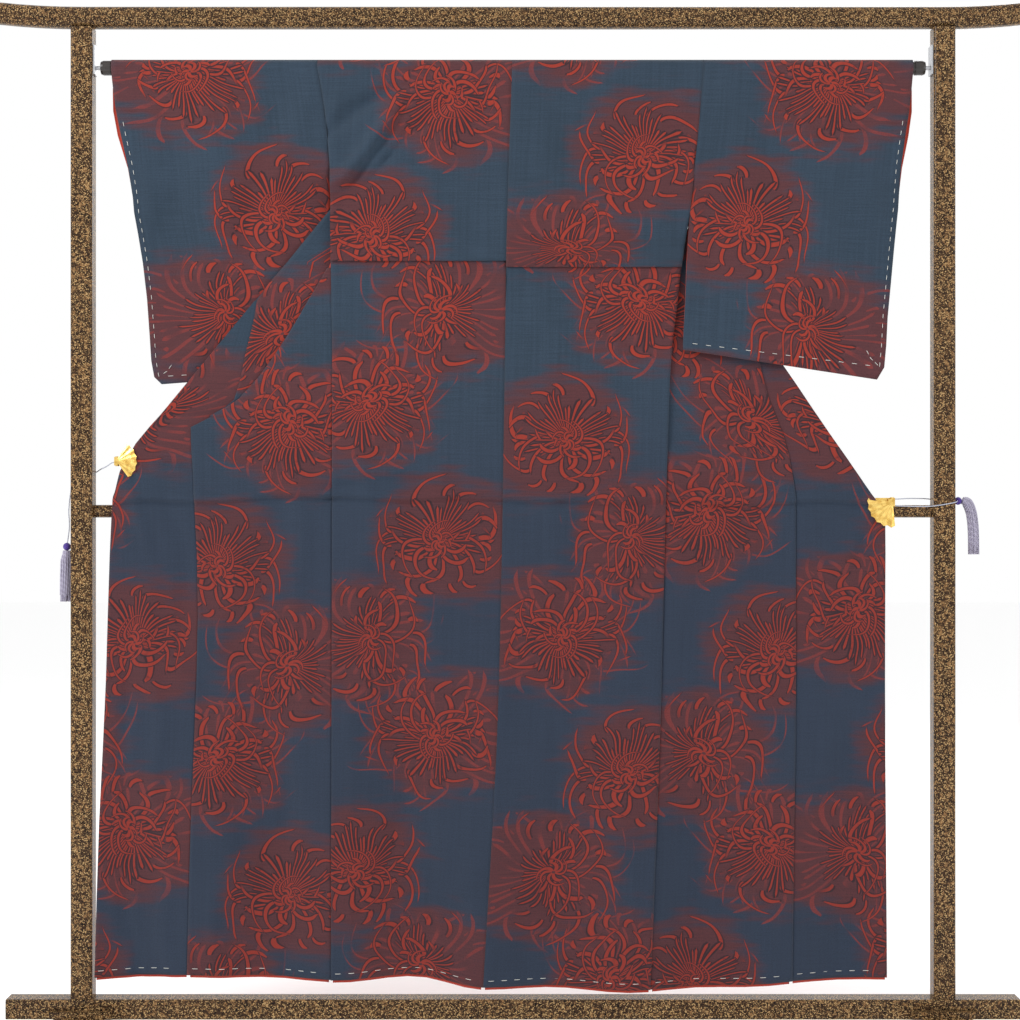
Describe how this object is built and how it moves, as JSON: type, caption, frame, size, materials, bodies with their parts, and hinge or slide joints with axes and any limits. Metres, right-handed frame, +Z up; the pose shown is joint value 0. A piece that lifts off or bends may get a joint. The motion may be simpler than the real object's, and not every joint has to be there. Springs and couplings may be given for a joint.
{
  "type": "kimono on a display stand",
  "caption": "Woven kimono shown from its back on the rod of a lacquered stand, with fronts opened out and held by corded clips with tassels.",
  "frame": {"origin": "on the floor, under the middle of the stand", "axes": "+Z up, +X along the rod towards the viewer's right, -Y towards the viewer who faces the kimono's back"},
  "size_m": [1.768, 0.4012, 1.707],
  "materials": {
    "cloth": "slate navy woven cloth with red flowers, matt",
    "lining": "orange red silk lining, soft sheen",
    "lacquer": "speckled brown lacquer, glossy",
    "dark_lacquer": "near black lacquer, glossy",
    "steel": "satin",
    "gilt": "polished gilt",
    "cord": "twisted cord, matt",
    "knot": "purple bound thread",
    "tassel": "pale lilac threads, silky"
  },
  "bodies": {
    "root": {"body_left": "cloth", "body_right": "cloth", "bottom_beam": "lacquer", "clip_left": "gilt", "clip_right": "gilt", "collar": "cloth", "collar_end_left": "cloth", "collar_end_right": "cloth", "cord_left": "cord", "cord_right_back": "cord", "cord_right_front": "cord", "foot_left": "lacquer", "foot_right": "lacquer", "hem_lining_back_left": "lining", "hem_lining_back_right": "lining", "hem_lining_front_left": "lining", "hem_lining_front_right": "lining", "hem_lining_okumi_left": "lining", "hem_lining_okumi_right": "lining", "knot_left": "knot", "knot_right": "knot", "middle_bar": "lacquer", "mouth_lining_left": "lining", "mouth_lining_right": "lining", "okumi_left": "cloth", "okumi_right": "cloth", "post_left": "lacquer", "post_right": "lacquer", "rod": "dark_lacquer", "rod_bracket_left": "steel", "rod_bracket_right": "steel", "rod_cap_left": "dark_lacquer", "rod_cap_right": "dark_lacquer", "sleeve_left": "cloth", "sleeve_right": "cloth", "tassel_left": "tassel", "tassel_right": "tassel", "top_beam": "lacquer"}
  },
  "joints": []
}
